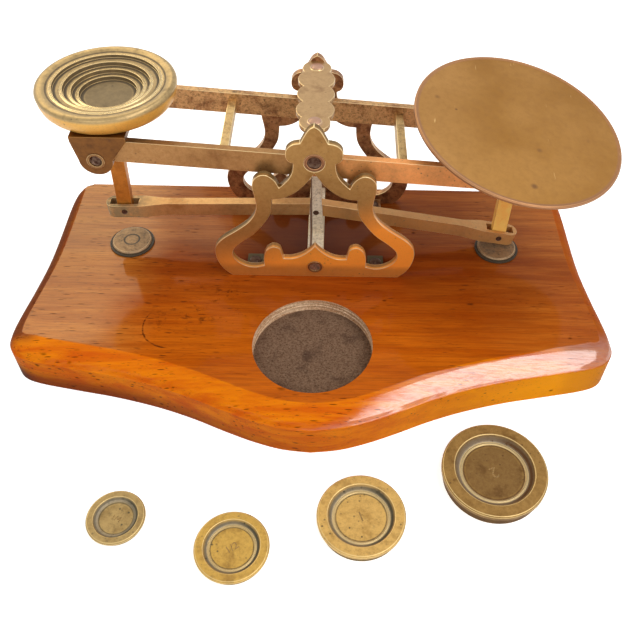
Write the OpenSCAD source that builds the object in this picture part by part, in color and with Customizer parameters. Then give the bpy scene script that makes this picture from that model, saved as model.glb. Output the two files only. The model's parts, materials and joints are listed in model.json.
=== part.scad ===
// Victorian postal scale: a beam and a check stay carry a weight cup and a letter plate level.
// Millimetres. X runs along the beam with the letter plate at +X, Y to the back, Z up.
// The origin lies on the underside of the wooden base, below the fulcrum.

/* [Base] */
// Width over the front tips
base_w = 248; // [238:1:262]
// Thickness of the wood
base_t = 20; // [18:0.5:24]
// From the fulcrum to the back edge
base_back = 36.5; // [34:0.5:44]
// From the fulcrum to the foremost point of the bulge
base_front = 103.5; // [100:0.5:112]
// From the fulcrum to the front edge at the tips
wing_front = 72; // [69:0.5:76]
// How much narrower the waist is than the tips, on each side
waist_in = 5; // [2:0.5:8]
// Width of the moulded edge in front
edge_front = 10; // [7:0.5:10.5]
// Width of the moulded edge at the sides
edge_side = 6.2; // [4:0.2:7]
// Width of the moulded edge at the back
edge_back = 2.2; // [1:0.2:4]
// Height of the moulded edge
edge_h = 4.8; // [3:0.1:6]

/* [Weight recess] */
// Radius of the recess
recess_r = 24.4; // [22:0.1:26]
// Depth of the recess
recess_depth = 7; // [4:0.5:9]
// From the fulcrum forward to the recess
recess_front = 65; // [60:0.5:67]
// Thickness of the lining on its floor
lining_t = 0.6; // [0.3:0.1:1]

/* [Frame] */
// Height of the fulcrum above the wood
fulcrum_h = 61; // [58:0.5:66]
// Width of a frame plate over its feet
frame_w = 84.6; // [80:0.5:92]
// Outside distance over the two frame plates
frame_d = 53.2; // [50:0.2:60]
// Thickness of a frame plate
plate_t = 3; // [2.4:0.1:3.6]
// Outer radius of the fulcrum bushes
bush_r = 4; // [3.6:0.1:4.6]
// Length of a hold down lug
lug_l = 8.6; // [7:0.2:10]
// Width of a hold down lug
lug_w = 7; // [6.4:0.2:9]
// Thickness of a hold down lug
lug_t = 2.2; // [1.6:0.1:3]
// Distance of a lug from the middle
lug_x = 26.5; // [24:0.5:29]
// Width of the tie bar
tie_w = 7; // [5.6:0.2:8]
// Height of the tie bar
tie_h = 9.2; // [8.4:0.1:10]
// Height of the tie screws above the wood
tie_screw_h = 6.2; // [5.6:0.1:6.8]

/* [Top bridge] */
// Radius of the three large scallops
scallop_r = 7.4; // [7:0.1:7.8]
// Distance between them
scallop_pitch = 10.8; // [10.2:0.1:11.4]
// Radius of the small scallop at each end
end_scallop_r = 5.9; // [5:0.1:6.4]
// Radius of the boss on each small scallop
boss_r = 2.6; // [2:0.1:3]
// Thickness of the bridge plate
bridge_t = 2; // [1.6:0.1:2.6]
// Height of its underside above the fulcrum
bridge_up = 11.6; // [10.8:0.1:12]
// Width of its end tabs
tab_w = 4.4; // [3.6:0.2:5]

/* [Beam] */
// From the fulcrum to each end pivot, along the beam
arm = 83; // [80:0.5:87]
// How far the end pivots lie below the fulcrum
pivot_drop = 8; // [7.4:0.1:8.6]
// How far the beam dips to the letter plate at rest
rest_tilt = 4.1; // [3.5:0.1:4.4]
// Height of a beam bar
bar_h = 9.6; // [8.6:0.1:10.4]
// Thickness of a beam bar
bar_t = 3; // [2.4:0.1:3.2]
// Gap between the two beam bars
bar_gap = 36; // [34:0.5:37]
// Drop of the bars' top edge below the fulcrum
bar_drop = 1; // [0.6:0.1:1.6]
// Distance of a cross bar from the fulcrum
cross_x = 35.5; // [30:0.5:38]
// Drop of a cross bar below the bars' top edge
cross_drop = 3.4; // [2.4:0.1:4]
// Width of a cross bar
cross_w = 3.6; // [3:0.1:4.4]
// Height of a cross bar
cross_h = 4.6; // [4:0.1:5.4]
// Radius of the fulcrum pins
fulcrum_pin_r = 2.7; // [2.2:0.1:3]
// Radius of the end pivots
end_pin_r = 2.3; // [1.8:0.1:2.5]

/* [Hangers and stems] */
// Thickness of an eye plate
eye_t = 2.8; // [2.2:0.1:3]
// Outer radius of an eye
eye_r = 6.4; // [6:0.1:6.8]
// Width of a hanger at its top
hanger_w = 21; // [18:0.5:23]
// Height of the hanger's top above its pivot
hanger_h = 10.8; // [10:0.1:12]
// Thickness of the hanger's crosspiece
crosspiece_t = 2.2; // [1.8:0.1:2.6]
// How far the left hanger and its cup stand inward of their pivot
hanger_in = 2.4; // [0:0.1:2.8]
// How far the left stem's top leans inward
stem_lean = 2; // [0:0.1:2.4]
// Width of a stem
stem_w = 6.4; // [5.6:0.1:7]
// Thickness of a stem
stem_t = 3.4; // [3:0.1:3.8]
// How far a stem's foot reaches below its pin
foot_drop = 4.6; // [4.5:0.1:4.9]

/* [Weight cup] */
// Largest radius of the cup
cup_r = 27; // [26.2:0.1:28]
// Height of the cup
cup_h = 8.7; // [8.4:0.1:9.2]
// Radius of the cup's crest
cup_crest_r = 25.2; // [24.6:0.1:25.6]
// Drop from the crest to the largest seat
cup_lip = 2; // [1.6:0.1:2.2]
// Thickness of its wall
cup_wall = 2; // [1.6:0.1:2.4]
// Drop from one seat of the cup to the next
seat_step = 1.5; // [1.3:0.05:1.6]

/* [Letter plate] */
// Radius of the plate
letter_r = 43.8; // [41:0.2:45]
// Thickness of the plate
letter_t = 1.8; // [1.6:0.1:2.2]
// Lean of the plate outward
letter_lean = 9.5; // [0:0.5:10]
// Lean of the plate to the front
letter_nod = 7; // [0:0.5:7.5]
// Height of the plate's middle above its pivot
letter_up = 14.1; // [14:0.1:15.5]
// Height of the bead round its rim
letter_bead = 0.4; // [0.2:0.1:0.8]

/* [Stay] */
// Height of the stay
stay_h = 6.2; // [5.4:0.1:6.6]
// Thickness of the stay's arms
stay_t = 4.2; // [3.4:0.1:4.4]
// Thickness of its slotted ends
stay_end_t = 7.4; // [7:0.1:8]
// Length of a slot
slot_l = 12.4; // [11.6:0.1:13]
// From the pin to the outer end of the stay
stay_tail = 8; // [7.6:0.1:8.6]
// Radius of the stay's pins
stay_pin_r = 1.3; // [1.1:0.05:1.5]
// Forward shift of the stay and stems from the middle
link_y = 4; // [3.8:0.1:4.6]
// Thickness of each upright of the standard
upright_t = 2; // [1.6:0.1:2.4]
// Width of the standard at its foot
standard_w = 6.6; // [6:0.1:7]
// Width of the standard at its top
standard_top_w = 3.6; // [3.2:0.1:5]
// Height of the standard above the stay's pin
standard_up = 20; // [12:0.5:22]

/* [Rests] */
// Radius of a rest disc
rest_r = 8.7; // [8:0.1:9.4]
// How much wider its leather pad is
pad_rim = 1.1; // [0.6:0.1:1.5]
// Thickness of the leather pad
pad_t = 0.9; // [0.6:0.1:1.6]
// Thickness of the brass disc
disc_t = 1.1; // [0.9:0.1:1.3]
// Forward shift of the rests
rest_y = 7; // [5:0.5:8]

/* [Weights] */
// Radius of the largest weight
weight_r_2oz = 20; // [19:0.1:20.1]
// Height of the largest weight
weight_h_2oz = 6.95; // [6.6:0.05:7.3]
// Where the largest weight stands
place_2oz = [69.9, -113.6];
// Radius of the second weight
weight_r_1oz = 16.2; // [15.8:0.1:16.4]
// Height of the second weight
weight_h_1oz = 5.4; // [5:0.05:5.7]
// Where the second weight stands
place_1oz = [19.4, -132.1];
// Radius of the third weight
weight_r_half = 13.3; // [12.8:0.1:13.5]
// Height of the third weight
weight_h_half = 4.15; // [3.9:0.05:4.4]
// Where the third weight stands
place_half = [-26.2, -143.9];
// Radius of the smallest weight
weight_r_quarter = 10.6; // [10:0.1:10.8]
// Height of the smallest weight
weight_h_quarter = 3.4; // [3.2:0.05:3.7]
// Where the smallest weight stands
place_quarter = [-69, -133];

/* [Hidden] */
$fn = 64;

// clearances and small sizes that the pieces share
press = 0.02;
run = 0.06;
gap = 0.3;
cut = 1;
curve_steps = 4;
fulcrum_z = base_t + fulcrum_h;
fulcrum = [0, 0, fulcrum_z];
plate_y = frame_d / 2;
bar_y = bar_gap / 2 + bar_t;
eye_y = bar_y + 1.2;
hanger_y = eye_y + eye_t;
bar_mid = -bar_drop - bar_h / 2;
stay_slope = atan(pivot_drop / arm);
stay_reach = norm([arm, pivot_drop]);
slot_w = stem_t + 0.7;
standard_gap = stay_t / 2 + gap;
wood_screw_r = 1.5;
wood_screw_l = 9;
rest_screw_r = 1.4;
rest_screw_l = 10;
lug_screw_in = 4;
tab_in = 1.4;
tie_screw_l = 7;
hanger_screw_r = link_y - stem_t / 2 - 0.2;
sink_h = 0.7;
boss_y = scallop_pitch * 1.75;
cup_floor = cup_h - cup_lip - 3 * seat_step;

// where the beam's end pivots and the stay's end pins lie at rest
function tilted(x, z) = [
    x * cos(rest_tilt) + z * sin(rest_tilt),
    -x * sin(rest_tilt) + z * cos(rest_tilt),
];
left_pivot = tilted(-arm, -pivot_drop);
right_pivot = tilted(arm, -pivot_drop);
left_x = left_pivot[0];
right_x = right_pivot[0];
left_z = fulcrum_z + left_pivot[1];
right_z = fulcrum_z + right_pivot[1];

// depth of the stay's pins below the beam's, with the lower foot just clear of its rest
link_h = right_z - foot_drop - gap - disc_t - pad_t - base_t;
stay_mid_z = fulcrum_z - link_h;

// points of a smooth curve through p, without its last point
function bend(p) = [
    for (i = [0 : len(p) - 2], s = [0 : curve_steps - 1])
        let (
            t = s / curve_steps,
            a = p[max(i - 1, 0)],
            b = p[i],
            c = p[i + 1],
            d = p[min(i + 2, len(p) - 1)]
        )
        (2 * b + (c - a) * t + (2 * a - 5 * b + 4 * c - d) * t * t
            + (3 * b - a - 3 * c + d) * t * t * t) / 2,
];
function flipped(p) = [for (i = [len(p) - 1 : -1 : 0]) [-p[i][0], p[i][1]]];
function joined(lists) = [for (list = lists, point = list) point];

// right half of the base's plan, from the middle of the bulge round to the back
tip_x = base_w / 2;
waist_x = tip_x - waist_in;
bulge = base_front - wing_front;
base_half = joined([
    bend([
        [0, -base_front],
        [11, -base_front + bulge * 0.04],
        [22, -base_front + bulge * 0.14],
        [34, -base_front + bulge * 0.29],
        [47, -base_front + bulge * 0.47],
        [62, -base_front + bulge * 0.64],
        [80, -base_front + bulge * 0.79],
        [98, -base_front + bulge * 0.9],
        [tip_x - 11, -wing_front],
        [tip_x - 4, -wing_front + 3],
        [tip_x - 0.5, -wing_front + 8],
        [tip_x, -wing_front + 14],
        [tip_x - 0.9, -wing_front + 23],
        [tip_x - waist_in * 0.55, -wing_front + 36],
        [tip_x - waist_in * 0.9, -wing_front + 52],
        [waist_x, -wing_front + 68],
        [waist_x, base_back - 18],
        [waist_x - 0.8, base_back - 8],
        [waist_x - 3.5, base_back - 2.6],
        [waist_x - 9, base_back],
    ]),
    [[waist_x - 9, base_back]],
]);
base_plan = joined([base_half, [for (i = [len(base_half) - 1 : -1 : 1]) [-base_half[i][0], base_half[i][1]]]]);

// unit outward normal of the plan at point i, and the moulding's width where it faces that way
function plan_normal(i) =
    let (
        n = len(base_plan),
        d = base_plan[(i + 1) % n] - base_plan[(i + n - 1) % n]
    )
    [d[1], -d[0]] / norm(d);
function edge_width(n) = edge_side + (n[1] < 0 ? edge_side - edge_front : edge_back - edge_side) * n[1];

// section of what the moulding takes away: how far in, as a share of its width, and how high
edge_low = base_t - edge_h;
edge_section = [
    [-0.2, base_t + cut],
    [-0.2, edge_low - 1.4],
    [0.06, edge_low],
    [0.13, edge_low + edge_h * 0.28],
    [0.26, edge_low + edge_h * 0.5],
    [0.5, edge_low + edge_h * 0.72],
    [1, base_t],
    [1, base_t + cut],
];

module edge_waste() {
    n = len(base_plan);
    m = len(edge_section);
    points = [
        for (s = edge_section, i = [0 : n - 1])
            let (
                normal = plan_normal(i),
                p = base_plan[i] - s[0] * edge_width(normal) * normal
            )
            [p[0], p[1], s[1]]
    ];
    faces = [
        for (k = [0 : m - 1], i = [0 : n - 1])
            let (
                j = (i + 1) % n,
                a = k * n,
                b = (k + 1) % m * n
            )
            each [[a + i, a + j, b + j], [a + i, b + j, b + i]]
    ];
    polyhedron(points = points, faces = faces, convexity = 4);
}

module frame_screw_places() {
    for (x = [-lug_x, lug_x], side = [-1, 1])
        translate([x, side * (plate_y - plate_t - lug_screw_in), 0]) children();
}

module rest_places() {
    for (x = [left_x, right_x]) translate([x, -rest_y, 0]) children();
}

// a wood screw with a domed head, standing on z = 0
module wood_screw(head_r, shank_r, shank_l) {
    head_h = head_r * 0.45;
    rotate_extrude() polygon([
        [0, -shank_l], [shank_r * 0.3, -shank_l], [shank_r, -shank_l + 2.4], [shank_r, 0],
        [head_r, 0], [head_r * 0.92, head_h * 0.55], [head_r * 0.6, head_h * 0.92], [0, head_h],
    ]);
}

module wood_base() {
    color("saddlebrown") difference() {
        linear_extrude(base_t) polygon(base_plan);
        edge_waste();
        translate([0, -recess_front, base_t - recess_depth])
            cylinder(r = recess_r, h = recess_depth + cut, $fn = 96);
        translate([0, 0, base_t]) frame_screw_places()
            translate([0, 0, -wood_screw_l]) cylinder(r = wood_screw_r + press, h = wood_screw_l + cut);
        translate([0, 0, base_t]) rest_places()
            translate([0, 0, -rest_screw_l]) cylinder(r = rest_screw_r + press, h = rest_screw_l + cut);
    }
}

module recess_lining() {
    color("dimgray") translate([0, -recess_front, base_t - recess_depth])
        cylinder(r = recess_r - press, h = lining_t, $fn = 96);
}

// the pierced plate's outline and window, right halves; k and m scale them to the plate
kx = frame_w / 84.6;
kz = fulcrum_h / 61;
function sized(p) = [for (q = p) [q[0] * kx, q[1] * kz]];
plate_half = joined([
    bend(sized([[0, 77.3], [1.8, 76.2], [3.2, 74.2], [5.3, 69.9]])),
    bend(sized([[5.3, 69.9], [8.3, 69.2], [10.5, 67.1], [11, 64], [10.1, 61.7], [8.2, 60.6]])),
    bend(sized([[8.2, 60.6], [8.5, 57], [10.2, 53], [13.9, 48.8]])),
    bend(sized([
        [13.9, 48.8], [15.6, 52.4], [18.4, 54.7], [21.4, 54.6], [23.9, 52.2], [24.5, 48.4],
        [23.7, 43], [23.5, 39], [24.5, 34.8], [27.4, 30.4], [32.4, 26], [38.5, 21.3], [41.9, 16.6],
        [42.3, 11.4], [41, 6.4], [38.8, 2.6], [36, 0],
    ])),
    [[36 * kx, 0]],
]);
window_half = joined([
    bend(sized([[0, 56], [4.4, 49.6], [9.2, 45.3], [13.4, 43.4], [17, 43]])),
    bend(sized([
        [17, 43], [17.2, 39], [18.1, 34.8], [20.9, 29.8], [25.2, 24.2], [30.6, 19.5], [34.3, 15.4],
        [34.9, 11.6], [33, 8], [29.4, 5.6], [25.6, 5], [21.9, 6],
    ])),
    bend(sized([[21.9, 6], [21.9, 10.6], [20.7, 14.8], [17.8, 17.1], [14.9, 16], [14, 13], [13.5, 10.4]])),
    bend(sized([[13.5, 10.4], [9.8, 10.4], [6, 12], [2.4, 15], [0, 18]])),
    [[0, 18 * kz]],
]);

module plate_outline() {
    polygon(joined([plate_half, [for (p = flipped(plate_half)) if (p[0] < 0) p]]));
}

module plate_window() {
    polygon(joined([window_half, [for (p = flipped(window_half)) if (p[0] < 0) p]]));
}

// a frame plate whose outer face is at y = 0 and whose body reaches to y = plate_t
module frame_plate() {
    difference() {
        union() {
            translate([0, plate_t, base_t]) rotate([90, 0, 0]) linear_extrude(plate_t) difference() {
                plate_outline();
                plate_window();
            }
            for (x = [-lug_x, lug_x])
                translate([x - lug_w / 2, plate_t - cut, base_t]) cube([lug_w, lug_l + cut, lug_t]);
        }
        translate([0, -cut, fulcrum_z]) rotate([-90, 0, 0]) cylinder(r = bush_r, h = plate_t + 2 * cut);
        translate([0, -cut, base_t + tie_screw_h]) rotate([-90, 0, 0])
            cylinder(r = wood_screw_r + press, h = plate_t + 2 * cut);
        for (x = [-lug_x, lug_x]) translate([x, plate_t + lug_screw_in, base_t - cut])
            cylinder(r = wood_screw_r + press, h = lug_t + 2 * cut);
        translate([-tab_w / 2 - press, plate_t - tab_in, fulcrum_z + bridge_up - press])
            cube([tab_w + 2 * press, tab_in + cut, bridge_t + 2 * press]);
    }
}

module front_frame() {
    color("peru") translate([0, -plate_y, 0]) frame_plate();
}

module rear_frame() {
    color("darkgoldenrod") mirror([0, 1, 0]) translate([0, -plate_y, 0]) frame_plate();
}

module frame_screws() {
    color("dimgray") translate([0, 0, base_t + lug_t]) frame_screw_places()
        wood_screw(2.7, wood_screw_r, wood_screw_l + lug_t - gap);
}

module fulcrum_bushes() {
    color("tan") for (side = [-1, 1]) {
        translate([0, side > 0 ? plate_y - plate_t : -plate_y, fulcrum_z]) rotate([-90, 0, 0])
            difference() {
                cylinder(r = bush_r - press, h = plate_t);
                translate([0, 0, -cut]) cylinder(r = fulcrum_pin_r + run, h = plate_t + 2 * cut);
            }
    }
}

module tie_bar() {
    half = plate_y - plate_t;
    color("khaki") difference() {
        translate([-tie_w / 2, -half, base_t]) cube([tie_w, 2 * half, tie_h]);
        for (side = [-1, 1]) translate([0, side * half, base_t + tie_screw_h]) rotate([side * 90, 0, 0])
            translate([0, 0, -cut]) cylinder(r = wood_screw_r + press, h = tie_screw_l + 1 + cut);
    }
}

module tie_screws() {
    half = plate_y - plate_t;
    color("gainsboro") for (side = [-1, 1])
        translate([0, side * plate_y, base_t + tie_screw_h]) rotate([-side * 90, 0, 0])
            wood_screw(2.8, wood_screw_r, plate_t + tie_screw_l);
}

module top_bridge() {
    half = plate_y - plate_t;
    color("darkkhaki") translate([0, 0, fulcrum_z + bridge_up]) {
        for (k = [-1 : 1]) translate([0, k * scallop_pitch, 0]) cylinder(r = scallop_r, h = bridge_t);
        intersection() {
            for (side = [-1, 1]) translate([0, side * boss_y, 0]) cylinder(r = end_scallop_r, h = bridge_t);
            translate([-scallop_r, -half + press, -cut])
                cube([2 * scallop_r, 2 * (half - press), bridge_t + 2 * cut]);
        }
        for (side = [-1, 1]) translate([0, side * boss_y, bridge_t - 0.4]) rotate_extrude() polygon([
            [0, 0], [boss_r, 0], [boss_r, 0.4], [boss_r * 0.88, 0.9], [boss_r * 0.6, 1.2], [0, 1.4],
        ]);
        translate([-tab_w / 2, -half - tab_in + gap, 0])
            cube([tab_w, 2 * (half + tab_in - gap), bridge_t]);
    }
}

// two uprights on the tie bar, joined at the top, between which the stay's middle swings
module centre_standard() {
    tall = stay_mid_z + standard_up - base_t - tie_h;
    outer = standard_gap + upright_t;
    color("khaki") difference() {
        translate([0, -link_y + outer, base_t + tie_h]) rotate([90, 0, 0]) linear_extrude(2 * outer)
            polygon([
                [-standard_w / 2, 0], [standard_w / 2, 0], [standard_top_w / 2, tall],
                [-standard_top_w / 2, tall],
            ]);
        translate([-standard_w / 2 - cut, -link_y - standard_gap, base_t + tie_h + 2])
            cube([standard_w + 2 * cut, 2 * standard_gap, tall - 4]);
        translate([0, -link_y - outer - cut, stay_mid_z]) rotate([-90, 0, 0])
            cylinder(r = stay_pin_r + press, h = 2 * (outer + cut), $fn = 32);
    }
}

module stay_centre_pin() {
    outer = standard_gap + upright_t;
    color("silver") translate([0, -link_y - outer, stay_mid_z]) rotate([-90, 0, 0])
        cylinder(r = stay_pin_r, h = 2 * outer, $fn = 32);
}

module rest_pad(x) {
    color("darkslategray") translate([x, -rest_y, base_t]) difference() {
        cylinder(r = rest_r + pad_rim, h = pad_t);
        translate([0, 0, -cut]) cylinder(r = rest_screw_r + press, h = pad_t + 2 * cut);
    }
}

module rest_disc(x) {
    color("burlywood") translate([x, -rest_y, base_t + pad_t]) difference() {
        rotate_extrude() polygon([
            [0, 0], [rest_r, 0], [rest_r, disc_t * 0.6], [rest_r - 0.5, disc_t], [0, disc_t],
        ]);
        translate([0, 0, -cut]) cylinder(r = rest_screw_r + press, h = disc_t + 2 * cut);
        translate([0, 0, disc_t - sink_h]) cylinder(
            r1 = rest_screw_r + press, r2 = rest_screw_r + press + 2 * sink_h + 0.02, h = sink_h + 0.01);
    }
}

// countersunk screws, flush with the discs, so that a stem's foot lands flat
module rest_screws() {
    color("silver") translate([0, 0, base_t + pad_t + disc_t]) rest_places() rotate_extrude() polygon([
        [0, -rest_screw_l - pad_t - disc_t + 1], [0.4, -rest_screw_l - pad_t - disc_t + 1],
        [rest_screw_r, -rest_screw_l - pad_t - disc_t + 3.4], [rest_screw_r, -sink_h],
        [rest_screw_r + 2 * sink_h - 0.1, -0.05], [0, -0.05],
    ]);
}

// places a piece of the beam, drawn level about the fulcrum, as the beam rests
module on_beam() {
    translate(fulcrum) rotate([0, rest_tilt, 0]) children();
}

// places a piece of the stay in the same way, about its middle pin
module on_stay() {
    translate([0, -link_y, stay_mid_z]) rotate([0, rest_tilt, 0]) children();
}

module beam_bar(side) {
    inner = bar_gap / 2;
    on_beam() translate([0, side > 0 ? inner : -inner - bar_t, 0]) difference() {
        union() {
            translate([-arm, 0, bar_mid - bar_h / 2]) cube([2 * arm, bar_t, bar_h]);
            for (x = [-arm, arm]) translate([x, 0, bar_mid]) rotate([-90, 0, 0])
                cylinder(r = bar_h / 2, h = bar_t);
            rotate([-90, 0, 0]) cylinder(r = fulcrum_pin_r + 3, h = bar_t);
        }
        translate([0, -cut, 0]) rotate([-90, 0, 0])
            cylinder(r = fulcrum_pin_r + press, h = bar_t + 2 * cut);
        for (x = [-arm, arm]) translate([x, -cut, -pivot_drop]) rotate([-90, 0, 0])
            cylinder(r = end_pin_r + press, h = bar_t + 2 * cut);
    }
}

module front_beam_bar() {
    color("peru") beam_bar(-1);
}

module rear_beam_bar() {
    color("sienna") beam_bar(1);
}

module cross_bars() {
    color("darkkhaki") on_beam() for (x = [-cross_x, cross_x])
        translate([x - cross_w / 2, -bar_gap / 2, -bar_drop - cross_drop - cross_h])
            cube([cross_w, bar_gap, cross_h]);
}

module fulcrum_pins() {
    color("dimgray") on_beam() for (side = [-1, 1])
        translate([0, side > 0 ? bar_gap / 2 - 1.4 : -plate_y + 0.5, 0]) rotate([-90, 0, 0])
            cylinder(r = fulcrum_pin_r, h = plate_y - 0.5 - bar_gap / 2 + 1.4);
}

module end_pivots(x) {
    color("gray") on_beam() for (side = [-1, 1])
        translate([x, side > 0 ? bar_gap / 2 - 1 : -hanger_y + 0.2, -pivot_drop]) rotate([-90, 0, 0])
            cylinder(r = end_pin_r, h = hanger_y - 0.2 - bar_gap / 2 + 1);
}

// two eye plates about the pivot axis, drawn in to the eyes below, h high above them and there s inward
module eye_plates(h, s) {
    w = hanger_w / 2;
    shoulder = hanger_h - crosspiece_t;
    for (side = [-1, 1]) translate([0, side > 0 ? hanger_y : -eye_y, 0]) rotate([90, 0, 0])
        linear_extrude(eye_t) {
            circle(r = eye_r);
            polygon([
                [-eye_r, 0], [-w + s, shoulder], [-w + s, h], [w + s, h], [w + s, shoulder], [eye_r, 0],
            ]);
        }
}

module eye_bores() {
    translate([0, -hanger_y - cut, 0]) rotate([-90, 0, 0])
        cylinder(r = end_pin_r + run, h = 2 * (hanger_y + cut), $fn = 48);
}

// stem hanging from height h, about the same axis, its top s inward, with a hole for the stay's pin
module stem(h, s) {
    translate([0, -link_y, 0]) difference() {
        union() {
            translate([0, stem_t / 2, -link_h]) rotate([90, 0, 0]) linear_extrude(stem_t) polygon([
                [-stem_w / 2, 0], [-stem_w / 2 + 1, -foot_drop], [stem_w / 2 - 1, -foot_drop],
                [stem_w / 2, 0], [stem_w / 2 + s, link_h + h], [-stem_w / 2 + s, link_h + h],
            ]);
        }
        translate([0, -stem_t / 2 - cut, -link_h]) rotate([-90, 0, 0])
            cylinder(r = stay_pin_r + run, h = stem_t + 2 * cut, $fn = 32);
    }
}

module left_hanger() {
    under = hanger_h - crosspiece_t;
    color("chocolate") translate([left_x, 0, left_z]) difference() {
        union() {
            eye_plates(hanger_h, hanger_in);
            translate([hanger_in - hanger_w / 2, -hanger_y, under])
                cube([hanger_w, 2 * hanger_y, crosspiece_t]);
        }
        eye_bores();
        translate([hanger_in, 0, under - cut])
            cylinder(r = wood_screw_r + press, h = crosspiece_t + 2 * cut);
    }
}

module left_stem() {
    color("peru") translate([left_x, 0, left_z]) stem(hanger_h - crosspiece_t, stem_lean);
}

// the letter plate's own place: its middle, leaning outward and to the front
module on_plate() {
    translate([0, 0, letter_up]) rotate([letter_nod, 0, 0]) rotate([0, letter_lean, 0]) children();
}

// all that lies more than d below the letter plate's top
module below_plate(d) {
    on_plate() translate([-60, -60, -d - 120]) cube([120, 120, 120]);
}

// like the left one, but its crosspiece lies flat under the leaning plate
module right_hanger() {
    tall = letter_up + 10;
    color("chocolate") translate([right_x, 0, right_z]) difference() {
        intersection() {
            union() {
                eye_plates(tall, 0);
                difference() {
                    translate([-hanger_w / 2, -hanger_y, 0]) cube([hanger_w, 2 * hanger_y, tall]);
                    below_plate(letter_t + crosspiece_t);
                }
            }
            below_plate(letter_t);
        }
        eye_bores();
        on_plate() translate([0, 0, -20]) cylinder(r = wood_screw_r + press, h = 20);
    }
}

module right_stem() {
    color("sandybrown") translate([right_x, 0, right_z]) intersection() {
        stem(letter_up, 0);
        below_plate(letter_t + crosspiece_t);
    }
}

// the turned cup, with one seat for each weight
module weight_cup() {
    seats = [
        weight_r_2oz + 0.4, weight_r_1oz + 0.4, weight_r_half + 0.4, weight_r_quarter + 0.4,
    ];
    lip = cup_h - cup_lip;
    bead = 0.25;
    inside = joined([
        [for (k = [3 : -1 : 1]) each [
            [seats[k], lip - k * seat_step],
            [seats[k], lip - (k - 1) * seat_step + bead],
            [seats[k] + 0.7, lip - (k - 1) * seat_step + bead],
            [seats[k] + 1, lip - (k - 1) * seat_step],
        ]],
        [[seats[0], lip], [seats[0], cup_h - 0.7], [seats[0] + 0.7, cup_h - 0.7], [seats[0] + 1, cup_h - 1]],
        [[cup_r - 4.2, cup_h - 0.8], [cup_r - 3.4, cup_h - 0.2], [cup_crest_r, cup_h]],
    ]);
    side = joined([
        [for (a = [60 : -30 : 0]) [
            cup_crest_r + (cup_r - cup_crest_r) * cos(a),
            cup_h - 1.5 * (1 - sin(a)),
        ]],
        [[cup_r - 0.3, cup_h * 0.55], [cup_r - 0.9, cup_h * 0.32], [cup_r - 2.2, cup_h * 0.12]],
    ]);
    foot_r = cup_r - 4.4;
    hollow = [
        [foot_r, 0], [foot_r - cup_wall, 0], [seats[0], lip - cup_wall - 0.5],
        [seats[1] + 1, lip - seat_step - cup_wall + 0.4], [seats[2] + 1, lip - 2 * seat_step - cup_wall],
        [seats[3] + 1, 0.6], [seats[3], 0],
    ];
    color("goldenrod") translate([left_x + hanger_in, 0, left_z + hanger_h]) difference() {
        rotate_extrude($fn = 96) polygon(joined([[[0, 0], [0, cup_floor]], inside, side, hollow]));
        translate([0, 0, -cut]) cylinder(r = wood_screw_r + press, h = cup_floor - 0.6 + cut);
    }
}

module cup_screw() {
    color("darkgoldenrod") translate([left_x + hanger_in, 0, left_z + hanger_h - crosspiece_t])
        mirror([0, 0, 1]) wood_screw(hanger_screw_r, wood_screw_r, crosspiece_t + cup_floor - 0.8);
}

module letter_plate() {
    color("darkgoldenrod") translate([right_x, 0, right_z]) on_plate() difference() {
        translate([0, 0, -letter_t]) rotate_extrude($fn = 128) polygon([
            [0, 0], [letter_r - 3, 0], [letter_r - 0.6, 0.3], [letter_r, 0.9],
            [letter_r, letter_t], [letter_r - 0.5, letter_t + letter_bead],
            [letter_r - 1.2, letter_t + letter_bead * 0.8], [letter_r - 2, letter_t], [0, letter_t],
        ]);
        translate([0, 0, -letter_t - cut]) cylinder(r = wood_screw_r + press, h = letter_t - 0.6 + cut);
    }
}

module plate_screw() {
    color("gray") translate([right_x, 0, right_z]) on_plate() translate([0, 0, -letter_t - crosspiece_t])
        mirror([0, 0, 1]) wood_screw(hanger_screw_r, wood_screw_r, crosspiece_t + letter_t - 0.8);
}

// one arm of the stay, along +X from the middle pin, with its slotted end
module stay_arm() {
    shoulder = stay_reach + stay_tail - slot_l - 4;
    taper = 9;
    end_x = stay_reach + stay_tail - stay_end_t / 2;
    difference() {
        union() {
            translate([0, -stay_t / 2, -stay_h / 2]) cube([shoulder, stay_t, stay_h]);
            translate([0, 0, -stay_h / 2]) linear_extrude(stay_h) {
                polygon([
                    [shoulder - taper, -stay_t / 2], [shoulder, -stay_end_t / 2], [end_x, -stay_end_t / 2],
                    [end_x, stay_end_t / 2], [shoulder, stay_end_t / 2], [shoulder - taper, stay_t / 2],
                ]);
                translate([end_x, 0]) circle(r = stay_end_t / 2);
            }
        }
        translate([stay_reach, 0, 0]) cube([slot_l, slot_w, 2 * stay_h], center = true);
    }
}

// the check stay, a shallow arch drawn level about its middle pin
module stay_bar() {
    color("burlywood") on_stay() difference() {
        union() {
            rotate([0, stay_slope, 0]) stay_arm();
            rotate([0, -stay_slope, 0]) mirror([1, 0, 0]) stay_arm();
            rotate([90, 0, 0]) cylinder(r = stay_h / 2, h = stay_t, center = true);
        }
        for (x = [-arm, arm]) translate([x, -stay_end_t, -pivot_drop]) rotate([-90, 0, 0])
            cylinder(r = stay_pin_r + press, h = 2 * stay_end_t, $fn = 32);
        translate([0, -stay_t, 0]) rotate([-90, 0, 0])
            cylinder(r = stay_pin_r + run, h = 2 * stay_t, $fn = 32);
    }
}

module stay_end_pins() {
    color("silver") on_stay() for (x = [-arm, arm])
        translate([x, -stay_end_t / 2 - 0.2, -pivot_drop]) rotate([-90, 0, 0])
            cylinder(r = stay_pin_r, h = stay_end_t + 0.4, $fn = 32);
}

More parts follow.
